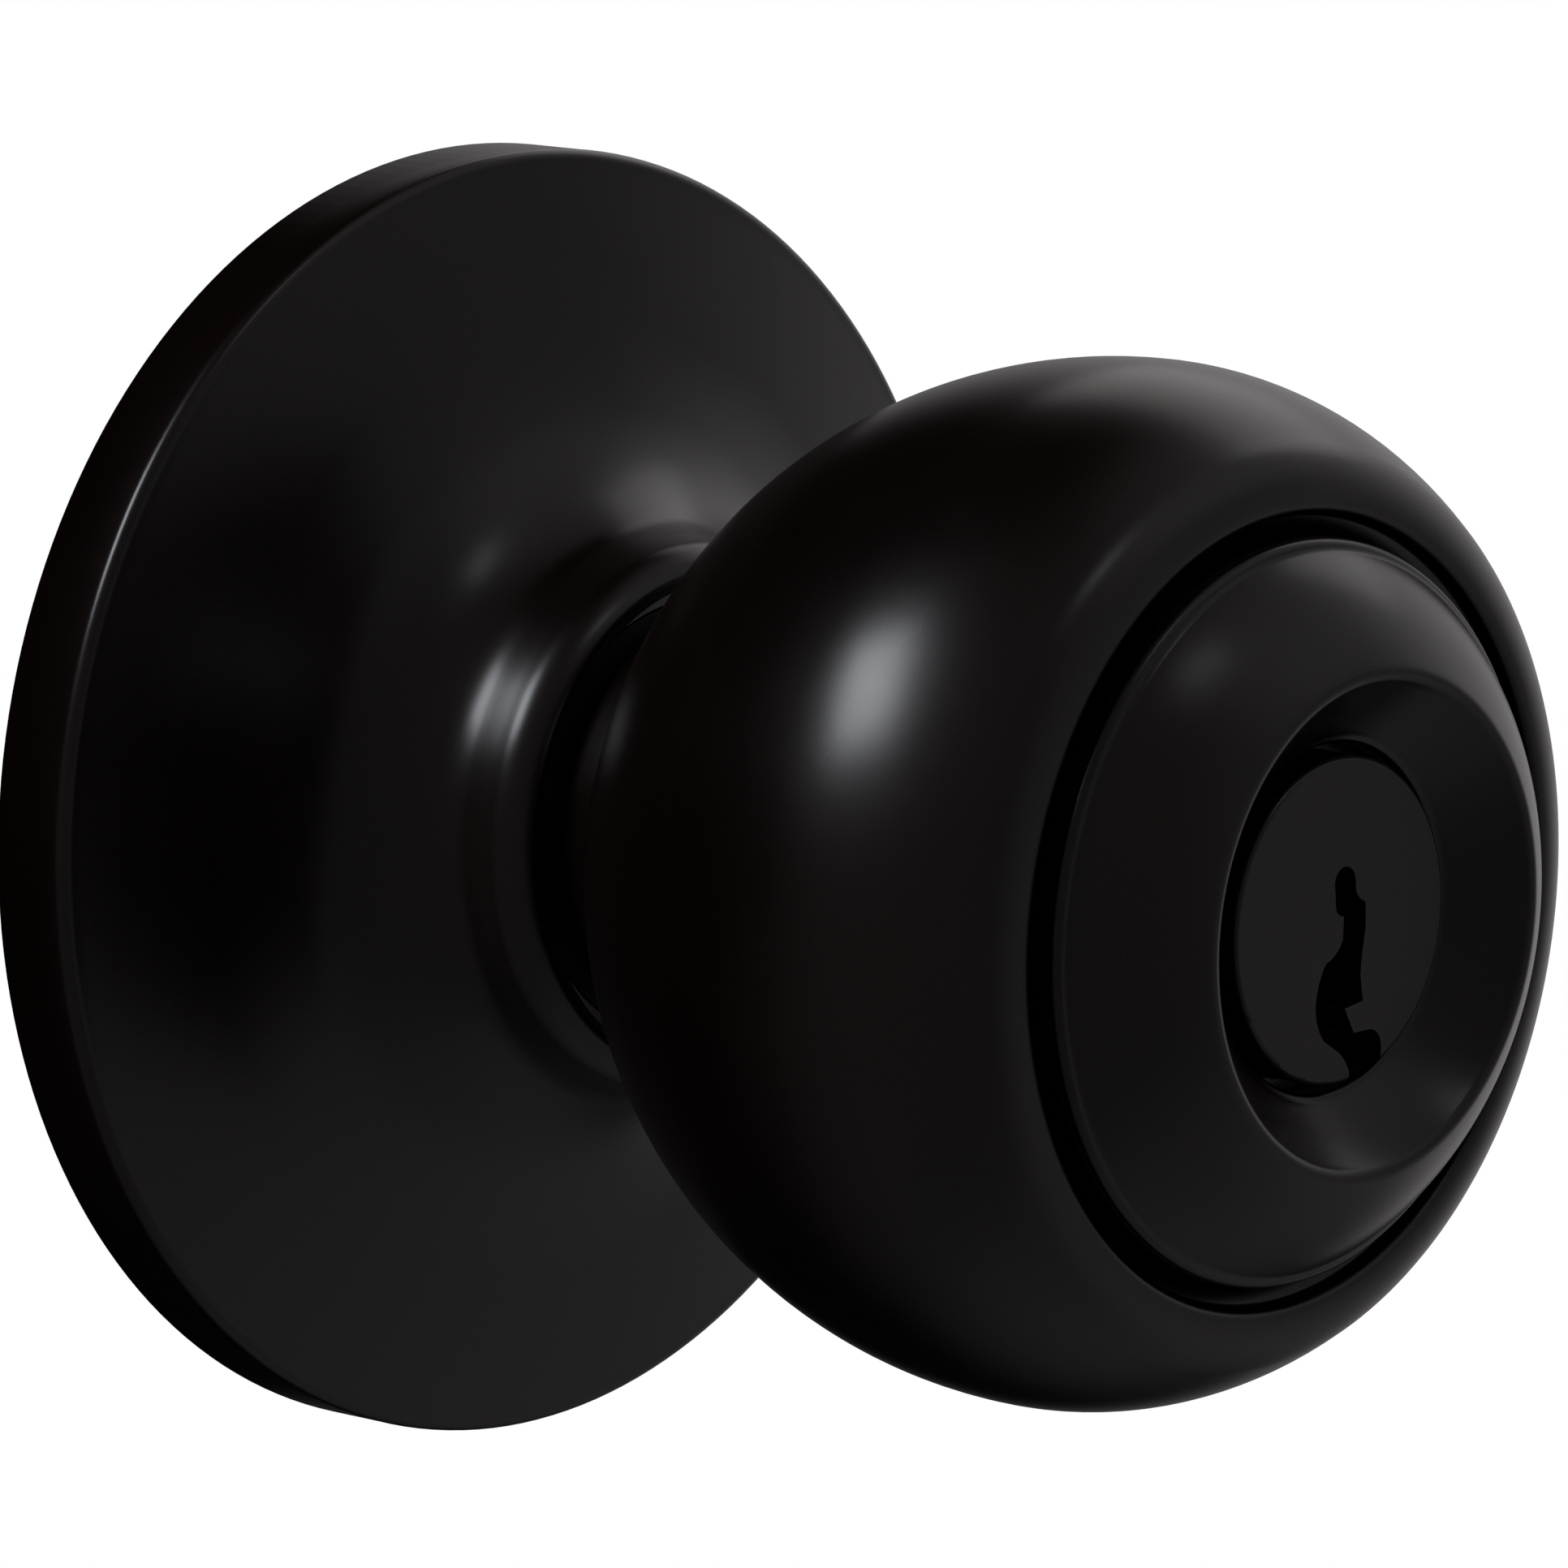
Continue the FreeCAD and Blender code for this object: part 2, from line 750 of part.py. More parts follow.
def make_plug_clip():
    """The cap staked on the plug's tail behind the housing."""
    tail = d["plug_tail_out"]
    outer = 8.2
    return ring("plug_clip", d["plug_neck_radius"], outer, tail + 0.6, tail + 1.8)


def make_tailpiece():
    """The flat blade the plug turns, running through the spindle to the inside."""
    body = new_body("tailpiece")
    tail = d["plug_tail_out"]
    depth = d["blade_depth"]
    half = d["blade_half"]
    thin = d["blade_wall"] / 2
    foot_wall = 1.2
    foot_radius = 5.0
    raised(body, "Foot", "XZ_Plane", tail - foot_wall, foot_wall, [(0, 0, foot_radius)])
    blade = [rectangle(-thin, thin, -half, half)]
    raised(body, "Blade", "XZ_Plane", -depth, depth + tail - foot_wall, blade)
    return body


def move_to(body, x, y, z):
    """Stands a body at a place, tied to the sheet."""
    place = FreeCAD.Vector(number(x), number(y), number(z))
    body.Placement = FreeCAD.Placement(place, FreeCAD.Rotation())
    for letter, size in zip("xyz", (x, y, z)):
        if isinstance(size, Size):
            bind(body, f".Placement.Base.{letter}", size)


def make_driver_pin(index):
    """A plain pin with eased ends, standing on the shear line."""
    body = new_body(f"driver_pin_{index + 1}")
    radius = d["pin_radius"]
    length = d["driver_length"]
    eased = 0.2
    turned(body, "Pin", [
        (0, 0),
        (radius - eased, 0),
        (radius, eased),
        (radius, length - eased),
        (radius - eased, length),
        (0, length),
    ], plane="XZ_Plane")
    move_to(body, 0, -pin_out(index), d["plug_radius"] + 0.03)
    return body


def make_key_pin(index):
    """A pin with a blunt point, lying at the bottom of its hole in the plug."""
    body = new_body(f"key_pin_{index + 1}")
    radius = d["pin_radius"]
    length = KEY_PIN_LENGTHS[index]
    eased = 0.2
    blunt = 0.5
    turned(body, "Pin", [
        (0, 0),
        (blunt, 0),
        (radius, radius - blunt),
        (radius, length - eased),
        (radius - eased, length),
        (0, length),
    ], plane="XZ_Plane")
    move_to(body, 0, -pin_out(index), d["key_pin_rest"])
    return body


def make_driver_spring(index):
    """The fine spring between a driver pin and the chamber cover."""
    foot = d["plug_radius"] + d["fine_gap"] + d["driver_length"]
    space = d["tower_top"] - d["cover_wall"] - foot
    place = (0, -pin_out(index), foot)
    radius = 1.0
    wire = 0.18
    pitch = 0.62
    return coil(f"driver_spring_{index + 1}", "Z", place, radius, wire, pitch, space - d["fine_gap"])


# ---- The spring latch ----

def make_latch_case():
    """The folded box that guides the drawbar, with a round lug on each side that carries the hub. It
    is open at the back, where the straps come out as the bolt is drawn."""
    body = new_body("latch_case")
    depth = d["latch_depth"]
    wall = d["case_wall"]
    half_y = d["case_half_y"]
    half_z = d["case_half_z"]
    start = d["case_start"]
    end = d["tube_start"]
    lug = [(0, 0, d["hub_radius"] + 2.4)]
    raised(body, "Lugs", "XZ_Plane", -depth - half_y, 2 * half_y, lug)
    outer = [rectangle(depth - half_y, depth + half_y, -half_z, half_z)]
    raised(body, "Box", "YZ_Plane", start, end - start, outer)
    inner = [rectangle(depth - half_y + wall, depth + half_y - wall, wall - half_z, half_z - wall)]
    past_lugs = 42.0
    sunk(body, "Hollow", "YZ_Plane", end, past_lugs, inner)
    bearing = [(0, 0, d["hub_radius"] + d["running_gap"])]
    sunk(body, "Bearings", "XZ_Plane", half_y - depth + 0.5, 2 * half_y + 1.0, bearing)
    return body


def make_latch_tube():
    """The round tube between the case and the collar, which guides the bolt and its spring."""
    body = new_body("latch_tube")
    depth = d["latch_depth"]
    start = d["tube_start"]
    end = d["backset"] - 8.0
    outer = d["collar_fit_radius"] - d["sleeve_wall"]
    raised(body, "Tube", "YZ_Plane", start, end - start, [(depth, 0, outer)])
    sunk(body, "Bore", "YZ_Plane", end, end - start + 0.1, [(depth, 0, outer - d["tube_wall"])])
    return body


def make_latch_collar():
    """The drive-in sleeve that grips the door's edge bore, with the bolt's opening in its end."""
    body = new_body("latch_collar")
    depth = d["latch_depth"]
    end = d["backset"]
    length = d["sleeve_length"]
    end_wall = 1.6
    gap = 0.15
    half_y = d["bolt_half_y"] + gap
    half_z = d["bolt_half_z"] + gap
    radius = d["collar_fit_radius"]
    raised(body, "Sleeve", "YZ_Plane", end - length, length, [(depth, 0, radius)])
    hollow = [(depth, 0, radius - d["sleeve_wall"])]
    sunk(body, "Hollow", "YZ_Plane", end - end_wall, length - end_wall + 0.1, hollow)
    opening = [rectangle(depth - half_y, depth + half_y, -half_z, half_z)]
    sunk(body, "Opening", "YZ_Plane", end, end_wall + 0.1, opening)
    return body


def make_spring_stop():
    """The pierced disc that closes the tube's inner end and holds the bolt spring."""
    body = new_body("spring_stop")
    depth = d["latch_depth"]
    start = d["tube_start"]
    wall = 1.2
    outer = d["collar_fit_radius"] - d["sleeve_wall"] - d["tube_wall"]
    raised(body, "Disc", "YZ_Plane", start, wall, [(depth, 0, outer)])
    hole = d["rod_radius"] + 0.3
    sunk(body, "RodHole", "YZ_Plane", start + wall, wall + 0.1, [(depth, 0, hole)])
    return body


def make_bolt_spring():
    """The spring round the rod that throws the bolt."""
    start = d["tube_start"] + 1.25
    tail = d["backset"] - d["bolt_tail_set_back"]
    radius = 3.4
    wire = 0.45
    pitch = 2.6
    place = (start, d["latch_depth"], 0)
    return coil("bolt_spring", "X", place, radius, wire, pitch, tail - start - 0.05)


def make_latch_hub():
    """The hub the spindle turns: two journals, a waist between them and an arm above and below."""
    body = new_body("latch_hub")
    depth = d["latch_depth"]
    half_y = d["case_half_y"] - 0.1
    waist_half = 2.3
    arm_half = 2.0
    waist = [(0, 0, d["hub_waist"])]
    journal = [(0, 0, d["hub_radius"])]
    journal_length = half_y - waist_half
    raised(body, "Waist", "XZ_Plane", -depth - half_y, 2 * half_y, waist)
    raised(body, "FrontJournal", "XZ_Plane", -depth + waist_half, journal_length, journal)
    raised(body, "BackJournal", "XZ_Plane", -depth - half_y, journal_length, journal)
    angle = math.radians(d["turn"].value / 2)
    tip_x = d["arm_reach"] * math.sin(angle)
    tip_z = d["arm_reach"] * math.cos(angle)
    for name, side in (("UpperArm", 1), ("LowerArm", -1)):
        tip = [(tip_x, side * tip_z, d["arm_tip"])]
        raised(body, name + "Tip", "XZ_Plane", -depth - arm_half, 2 * arm_half, tip)
        raised(body, name, "XZ_Plane", -depth - arm_half, 2 * arm_half, [arm_web(angle, side)])
    hole = d["spindle_radius"] + 0.03
    sunk(body, "SpindleHole", "XZ_Plane", half_y - depth + 0.1, 2 * half_y + 0.2, [hub_hole(hole)])
    return body


def arm_web(angle, side):
    """The arm's straight part, from inside the waist to its round tip, as wide as the tip."""
    start = d["hub_waist"].value - 1.0
    reach = d["arm_reach"].value
    half = d["arm_tip"].value
    along = FreeCAD.Vector(math.sin(angle), side * math.cos(angle), 0)
    across = FreeCAD.Vector(-along.y, along.x, 0) * side
    corners = [along * start - across * half, along * reach - across * half]
    corners += [along * reach + across * half, along * start + across * half]
    return [(c.x, c.y) for c in corners]


def hub_hole(radius):
    """A round hole with a flat on its +X side, as the spindle has."""
    flat = d["spindle_flat"] + 0.03
    rise = square_root(radius * radius - flat * flat)
    return [(flat, -rise, radius), (flat, rise), (-radius, 0, radius)]


def make_drawbar():
    """The yoke round the hub: a strap above and below, a cross-tab on each for the arm to push, and a
    front plate with the rod that carries the bolt."""
    body = new_body("drawbar")
    depth = d["latch_depth"]
    strap_half = 4.6
    strap_low = 7.25
    strap_high = 9.2
    tab_front = 3.5
    tab_wall = 1.44
    tab_back = tab_front - tab_wall
    tab_low = 6.5
    tab_high = strap_low + 0.15
    tab_half = 2.0
    window_half = 2.5
    plate = 20.0
    plate_front = plate + 1.5
    for name, side in (("Upper", 1), ("Lower", -1)):
        low, high = sorted((side * strap_low, side * strap_high))
        strap = [rectangle(depth - strap_half, depth + strap_half, low, high)]
        raised(body, name + "Strap", "YZ_Plane", tab_back, plate_front - tab_back, strap)
    front = [rectangle(depth - strap_half, depth + strap_half, -strap_high, strap_high)]
    raised(body, "Plate", "YZ_Plane", plate, plate_front - plate, front)
    for name, side in (("Upper", 1), ("Lower", -1)):
        low, high = sorted((side * (strap_low - 0.25), side * (strap_high + 0.3)))
        window = [rectangle(depth - window_half, depth + window_half, low, high)]
        sunk(body, name + "Window", "YZ_Plane", plate, plate - tab_front, window)
        low, high = sorted((side * tab_low, side * tab_high))
        tab = [rectangle(depth - tab_half, depth + tab_half, low, high)]
        raised(body, name + "Tab", "YZ_Plane", tab_back, tab_wall, tab)
    rod_end = d["backset"] - d["rod_set_back"]
    raised(body, "Rod", "YZ_Plane", plate_front, rod_end - plate_front, [(depth, 0, d["rod_radius"])])
    sunk(body, "PinHole", "XY_Plane", d["bolt_half_z"], 2 * d["bolt_half_z"], bolt_pin_outline())
    return body


def make_latch_bolt():
    """The bevelled bolt. Its slope faces the outside, which meets the strike as the door shuts."""
    body = new_body("latch_bolt")
    depth = d["latch_depth"]
    half_y = d["bolt_half_y"]
    half_z = d["bolt_half_z"]
    tail = d["backset"] - d["bolt_tail_set_back"]
    tip = d["backset"] + d["throw"]
    front = depth - half_y
    slope_length = 9.6
    slope_depth = 7.4
    tip_round = 0.9
    raised(body, "Block", "XY_Plane", -half_z, 2 * half_z, [[
        (tail, front),
        (tip - slope_length, front),
        (tip - 0.7, front + slope_depth, 11.0),
        (tip, front + slope_depth + 0.8, tip_round),
        (tip, depth + half_y),
        (tail, depth + half_y),
    ]])
    rod = d["backset"] - d["rod_set_back"]
    sunk(body, "RodHole", "YZ_Plane", rod, rod - tail + 0.1, [(depth, 0, d["rod_radius"])])
    sunk(body, "PinHole", "XY_Plane", half_z, 2 * half_z + 0.1, bolt_pin_outline())
    return body


def make_bolt_pin():
    """The cross pin that ties the rod and the bolt together."""
    body = new_body("bolt_pin")
    half_z = d["bolt_half_z"]
    raised(body, "Pin", "XY_Plane", -half_z, 2 * half_z, bolt_pin_outline())
    return body


def bolt_pin_outline():
    return [(d["backset"] - d["bolt_pin_set_back"], d["latch_depth"], d["bolt_pin_radius"])]


def build():
    make_rose()
    make_liner_plate()
    make_posts()
    make_spring_cage()
    make_return_spring()
    make_shank_bush()
    make_knob_shell()
    make_knob_shank()
    make_face_insert()
    make_thrust_washer()
    make_cam_plate()
    make_retaining_ring()
    make_spindle_carrier()
    make_spindle()
    make_cylinder_spacer()
    make_cylinder_housing()
    make_chamber_cover()
    make_plug()
    make_plug_clip()
    make_tailpiece()
    for index in range(PIN_COUNT):
        make_driver_pin(index)
        make_key_pin(index)
        make_driver_spring(index)
    make_latch_case()
    make_latch_tube()
    make_latch_collar()
    make_spring_stop()
    make_bolt_spring()
    make_latch_hub()
    make_drawbar()
    make_latch_bolt()
    make_bolt_pin()


def check_and_export():
    """Stops the build on any broken feature or shape, then writes one STEP file for each part."""
    doc.recompute()
    for item in doc.Objects:
        if "Invalid" in item.State or "Error" in item.State:
            raise RuntimeError(f"{item.Label} is {item.State}")
    os.makedirs("parts", exist_ok=True)
    for body in parts:
        if body.Shape.isNull() or not body.Shape.isValid():
            raise RuntimeError(f"{body.Label} has no sound shape")
        body.Shape.exportStep(f"parts/{body.Label}.step")


build()
check_and_export()
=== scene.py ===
import json
import math

import bmesh
import bpy
from mathutils import Matrix, Vector

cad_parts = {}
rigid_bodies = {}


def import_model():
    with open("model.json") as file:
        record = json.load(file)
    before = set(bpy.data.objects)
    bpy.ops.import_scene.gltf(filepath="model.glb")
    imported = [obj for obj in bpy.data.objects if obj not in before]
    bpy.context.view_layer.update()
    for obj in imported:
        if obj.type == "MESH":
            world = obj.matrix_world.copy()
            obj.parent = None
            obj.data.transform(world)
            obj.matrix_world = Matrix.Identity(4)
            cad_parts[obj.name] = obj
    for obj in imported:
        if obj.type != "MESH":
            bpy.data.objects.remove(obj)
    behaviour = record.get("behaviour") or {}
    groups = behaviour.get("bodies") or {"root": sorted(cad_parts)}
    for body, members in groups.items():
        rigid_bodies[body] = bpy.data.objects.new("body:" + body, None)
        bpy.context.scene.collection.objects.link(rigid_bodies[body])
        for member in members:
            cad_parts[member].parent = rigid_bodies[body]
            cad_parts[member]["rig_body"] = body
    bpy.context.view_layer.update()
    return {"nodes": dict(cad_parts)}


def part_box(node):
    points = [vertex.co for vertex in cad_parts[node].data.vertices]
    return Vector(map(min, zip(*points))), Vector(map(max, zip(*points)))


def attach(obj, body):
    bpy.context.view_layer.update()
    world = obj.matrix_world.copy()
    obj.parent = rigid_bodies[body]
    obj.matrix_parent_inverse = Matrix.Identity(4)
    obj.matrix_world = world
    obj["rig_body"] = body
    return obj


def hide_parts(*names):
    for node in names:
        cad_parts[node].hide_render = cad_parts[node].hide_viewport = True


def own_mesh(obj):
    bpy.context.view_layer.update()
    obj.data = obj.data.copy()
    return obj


# A keyed ball door knob with its rose, key cylinder and spring latch. Metres throughout, in the CAD's
# frame: the knob's axis is -Y, +Z is up and the latch bolt points along +X.
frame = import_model()

MM = 0.001
ROUND_STEPS = 192
THREAD_DEPTH = 0.4 * MM


# ---- Sizes read from the frame ----

def outs(node):
    """The nearest and furthest distance of a node from the door's face, towards the user."""
    low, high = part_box(node)
    return -high[1], -low[1]


def radius_of(node):
    low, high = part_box(node)
    return (high[2] - low[2]) / 2


ROSE_RADIUS = radius_of("rose")
COLLAR_OUT = outs("rose")[1]
BALL_RADIUS = radius_of("knob_shell")
SHELL_BACK, SHELL_FRONT = outs("knob_shell")
INSERT_RADIUS = radius_of("face_insert")
INSERT_BACK, CREST_OUT = outs("face_insert")
SHANK_RADIUS = 11.0 * MM
WALL = 1.2 * MM
BALL_OUT = SHELL_BACK + math.sqrt(BALL_RADIUS**2 - SHANK_RADIUS**2)


# ---- Mesh helpers ----

def finish_mesh(name, mesh, body):
    piece = bpy.data.objects.new(name, mesh)
    bpy.context.scene.collection.objects.link(piece)
    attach(piece, body)
    return piece


def arc(start, end, radius, steps):
    """Points after start, up to end, along the short arc that turns left for a positive radius."""
    a, b = Vector(start), Vector(end)
    chord = b - a
    half = chord.length / 2
    left = Vector((-chord.y, chord.x)).normalized()
    rise = math.sqrt(max(radius * radius - half * half, 0.0))
    centre = (a + b) / 2 + left * math.copysign(rise, radius)
    first = math.atan2(a.y - centre.y, a.x - centre.x)
    last = math.atan2(b.y - centre.y, b.x - centre.x)
    turn = (last - first) % math.tau
    if radius < 0:
        turn -= math.tau
    size = abs(radius)
    angles = [first + turn * i / steps for i in range(1, steps + 1)]
    return [(centre.x + size * math.cos(t), centre.y + size * math.sin(t)) for t in angles]


def lathed(name, body, profile, centre=(0.0, 0.0), steps=ROUND_STEPS):
    """Turns a closed profile of (radius, out) points round an axis along Y through (x, z)."""
    mesh = bpy.data.meshes.new(name)
    verts, faces = [], []
    count = len(profile)
    for i in range(steps):
        angle = math.tau * i / steps
        c, s = math.cos(angle), math.sin(angle)
        for point in profile:
            radius, out = point[:2]
            if len(point) == 3:
                turns = (out / point[2] + i / steps) % 1.0
                radius += THREAD_DEPTH * (1.0 - abs(2.0 * turns - 1.0))
            verts.append((centre[0] + radius * c, -out, centre[1] + radius * s))
    for i in range(steps):
        after = (i + 1) % steps
        for k in range(count):
            on = (k + 1) % count
            faces.append((i * count + k, i * count + on, after * count + on, after * count + k))
    mesh.from_pydata(verts, [], faces)
    outward(mesh)
    mesh.shade_smooth()
    return finish_mesh(name, mesh, body)


def outward(mesh):
    work = bmesh.new()
    work.from_mesh(mesh)
    bmesh.ops.recalc_face_normals(work, faces=work.faces)
    work.to_mesh(mesh)
    work.free()


# ---- The visible turned pieces ----

def make_ball():
    """The hollow ball: spherical behind, then a fuller curve to a rounded shoulder and the mouth."""
    widest = (BALL_RADIUS, BALL_OUT)
    back = (SHANK_RADIUS, SHELL_BACK)
    shoulder_radius = 22.3 * MM
    shoulder_out = 52.6 * MM
    mouth = 18.9 * MM
    brow = (mouth + 0.5 * MM, SHELL_FRONT)
    mouth_front = SHELL_FRONT - 0.45 * MM
    ledge = 16.5 * MM
    ledge_back = INSERT_BACK - 1.1 * MM
    fillet = 0.2 * MM
    inside = BALL_RADIUS - WALL
    hole_back = BALL_OUT - math.sqrt(inside**2 - SHANK_RADIUS**2)
    profile = [back]
    profile += arc(back, widest, BALL_RADIUS, 40)
    profile += arc(widest, (shoulder_radius, shoulder_out), 16.3 * MM, 20)
    profile += arc(profile[-1], brow, 3.4 * MM, 12)
    profile += arc(brow, (mouth, mouth_front), 0.5 * MM, 5)
    profile += [(mouth, INSERT_BACK + fillet), (mouth - fillet, INSERT_BACK), (ledge, INSERT_BACK)]
    profile += [(ledge, ledge_back), (mouth + 1.8 * MM, ledge_back)]
    profile += [(shoulder_radius - 1.0 * MM, shoulder_out - 0.8 * MM)]
    profile += arc(profile[-1], (inside, BALL_OUT), -15.1 * MM, 12)
    profile += arc(profile[-1], (SHANK_RADIUS, hole_back), -inside, 24)
    return lathed("ball", "knob", profile)


def make_rose():
    """The spun rose: an upright rim with a tight front edge, a face that climbs almost straight and then
    curls through a wide cove, and a short, nearly straight collar that rolls in to its lip."""
    rim = ROSE_RADIUS
    inner_rim = rim - WALL
    edge = 4.8 * MM
    edge_round = 0.65 * MM
    knee = (25.0 * MM, 6.4 * MM)
    cove = (20.2 * MM, 7.75 * MM)
    cove_top = (14.9 * MM, 11.9 * MM)
    collar_foot = (14.3 * MM, 13.4 * MM)
    collar_top = (14.05 * MM, 14.9 * MM)
    lip = 12.8 * MM
    bore = 12.2 * MM
    flange = 10.6 * MM
    eased = 0.1 * MM
    profile = [(inner_rim, 0.0), (rim - 0.15 * MM, 0.0), (rim, 0.15 * MM)]
    profile += [(rim - 0.05 * MM, edge - edge_round - eased)]
    profile += arc(profile[-1], (rim - edge_round, edge), edge_round, 8)
    profile += arc(profile[-1], knee, 300 * MM, 14)
    profile += arc(knee, cove, -30 * MM, 12)
    profile += arc(cove, cove_top, -11 * MM, 18)
    profile += arc(cove_top, collar_foot, -4 * MM, 8)
    profile += arc(collar_foot, collar_top, 60 * MM, 4)
    profile += arc(collar_top, (lip, COLLAR_OUT), 2.4 * MM, 12)
    profile += [(bore + eased, COLLAR_OUT), (bore, COLLAR_OUT - eased), (bore, flange)]
    profile += [(bore + 3.0 * MM, 10.4 * MM), (bore + 4.4 * MM, 8.6 * MM), (cove[0], cove[1] - 1.0 * MM)]
    profile += [(inner_rim - 0.3 * MM, edge - 1.3 * MM), (inner_rim, 2.5 * MM)]
    return lathed("rose_cover", "door_side", profile)


def make_face_ring():
    """The convex ring in the ball's mouth, dished in the middle round the plug."""
    outer = INSERT_RADIUS
    inner = outer - 1.1 * MM
    edge = 54.8 * MM
    edge_round = 0.5 * MM
    crest = 11.7 * MM
    hole = 8.3 * MM
    hole_out = 56.2 * MM
    profile = [(inner, INSERT_BACK), (outer, INSERT_BACK), (outer, edge - edge_round)]
    profile += arc(profile[-1], (outer - edge_round, edge), edge_round, 6)
    profile += arc(profile[-1], (crest + 0.5 * MM, CREST_OUT - 0.06 * MM), 14 * MM, 24)
    profile += arc(profile[-1], (crest - 0.25 * MM, CREST_OUT - 0.3 * MM), 0.6 * MM, 8)
    profile += arc(profile[-1], (hole + 0.3 * MM, hole_out + 0.1 * MM), -22 * MM, 16)
    profile += arc(profile[-1], (hole, hole_out - 0.2 * MM), 0.35 * MM, 5)
    profile += [(hole, hole_out - 1.0 * MM), (crest - 0.4 * MM, CREST_OUT - 1.4 * MM)]
    profile += [(crest + 0.2 * MM, CREST_OUT - 1.3 * MM)]
    profile += arc(profile[-1], (inner, edge - 0.6 * MM), -13 * MM, 10)
    return lathed("face_ring", "knob", profile)


def make_posts():
    """The two posts riveted in the liner: a flanged head and a long tapped bore, open towards the door."""
    low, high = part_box("mounting_posts")
    post = 4.0 * MM
    head = (high[0] - low[0]) / 2
    end = -high[1]
    top = -low[1]
    liner_front = 1.8 * MM
    bore = 2.1 * MM
    bottom = end + 15.0 * MM
    axis = 0.05 * MM
    eased = 0.3 * MM
    mouth = 0.35 * MM
    pieces = []
    for name, side in (("post_upper", 1), ("post_lower", -1)):
        centre = (0.0, side * ((high[2] - low[2]) / 2 - head))
        outside = [(bore + mouth, end), (post - eased, end), (post, end + eased), (post, eased)]
        outside += [(head - 0.1 * MM, liner_front), (head, liner_front + 0.15 * MM), (head, top - eased)]
        outside += [(head - eased, top), (axis, top)]
        inside = [(axis, bottom + 0.7 * MM), (bore, bottom)]
        threads = tapped_wall(bore, bottom - eased, end + mouth)
        pieces.append(lathed(name, "door_side", outside + inside + threads, centre, steps=72))
    return pieces


def tapped_wall(bore, first, last, pitch=0.8 * MM):
    """The points of a tapped bore's wall. Each keeps its place in the thread for lathed() to turn."""
    points_per_turn = 6
    count = int((first - last) / pitch * points_per_turn)
    wall = []
    for i in range(count + 1):
        wall.append((bore, first + (last - first) * i / count, pitch))
    return wall


def softened(name, node, width, angle=32):
    """A copy of a CAD node with clean faces and its sharp edges rounded off by width."""
    source = frame["nodes"][node]
    work = bmesh.new()
    work.from_mesh(source.data)
    bmesh.ops.remove_doubles(work, verts=work.verts, dist=1e-6)
    bmesh.ops.dissolve_limit(work, angle_limit=math.radians(0.6), verts=work.verts, edges=work.edges)
    sharp = []
    for edge in work.edges:
        if len(edge.link_faces) == 2 and edge.calc_face_angle(0.0) > math.radians(angle):
            sharp.append(edge)
    bmesh.ops.bevel(
        work, geom=sharp, offset=width, segments=2, profile=0.6, affect="EDGES", clamp_overlap=True
    )
    bmesh.ops.recalc_face_normals(work, faces=work.faces)
    mesh = bpy.data.meshes.new(name)
    work.to_mesh(mesh)
    work.free()
    mesh.shade_smooth()
    mesh.set_sharp_from_angle(angle=math.radians(angle))
    piece = finish_mesh(name, mesh, source["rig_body"])
    flat = piece.modifiers.new("flat_faces", "WEIGHTED_NORMAL")
    flat.weight = 100
    flat.keep_sharp = True
    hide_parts(node)
    return piece


def sprung(node):
    """A copy of a spring, smooth shaded, in place of its CAD node."""
    source = frame["nodes"][node]
    piece = finish_mesh(node + "_coil", source.data.copy(), source["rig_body"])
    piece.data.shade_smooth()
    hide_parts(node)
    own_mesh(piece)
    return piece


# ---- Materials ----

def new_material(name):
    material = bpy.data.materials.new(name)
    material.use_nodes = True
    tree = material.node_tree
    shader = tree.nodes["Principled BSDF"]
    place = tree.nodes.new("ShaderNodeTexCoord").outputs["Object"]
    return material, tree, shader, place


def noise(tree, place, scale, detail=3.0, roughness=0.5, stretch=None):
    """Noise by position in metres, stretched along the axes where stretch says so."""
    if stretch:
        mapping = tree.nodes.new("ShaderNodeMapping")
        mapping.inputs["Scale"].default_value = stretch
        tree.links.new(place, mapping.inputs["Vector"])
        place = mapping.outputs["Vector"]
    node = tree.nodes.new("ShaderNodeTexNoise")
    node.inputs["Scale"].default_value = scale
    node.inputs["Detail"].default_value = detail
    node.inputs["Roughness"].default_value = roughness
    tree.links.new(place, node.inputs["Vector"])
    return node.outputs["Fac"]


def between(tree, factor, from_low, from_high, low, high):
    node = tree.nodes.new("ShaderNodeMapRange")
    node.interpolation_type = "SMOOTHSTEP"
    node.inputs["From Min"].default_value = from_low
    node.inputs["From Max"].default_value = from_high
    node.inputs["To Min"].default_value = low
    node.inputs["To Max"].default_value = high
    tree.links.new(factor, node.inputs["Value"])
    return node.outputs["Result"]


def mixed(tree, factor, first, second):
    """A colour between two, each a tuple or a socket."""
    node = tree.nodes.new("ShaderNodeMix")
    node.data_type = "RGBA"
    tree.links.new(factor, node.inputs["Factor"])
    for socket, value in ((node.inputs["A"], first), (node.inputs["B"], second)):
        if isinstance(value, tuple):
            socket.default_value = (*value, 1.0)
        else:
            tree.links.new(value, socket)
    return node.outputs["Result"]


def multiplied(tree, first, second):
    node = tree.nodes.new("ShaderNodeMath")
    node.operation = "MULTIPLY"
    tree.links.new(first, node.inputs[0])
    tree.links.new(second, node.inputs[1])
    return node.outputs["Value"]


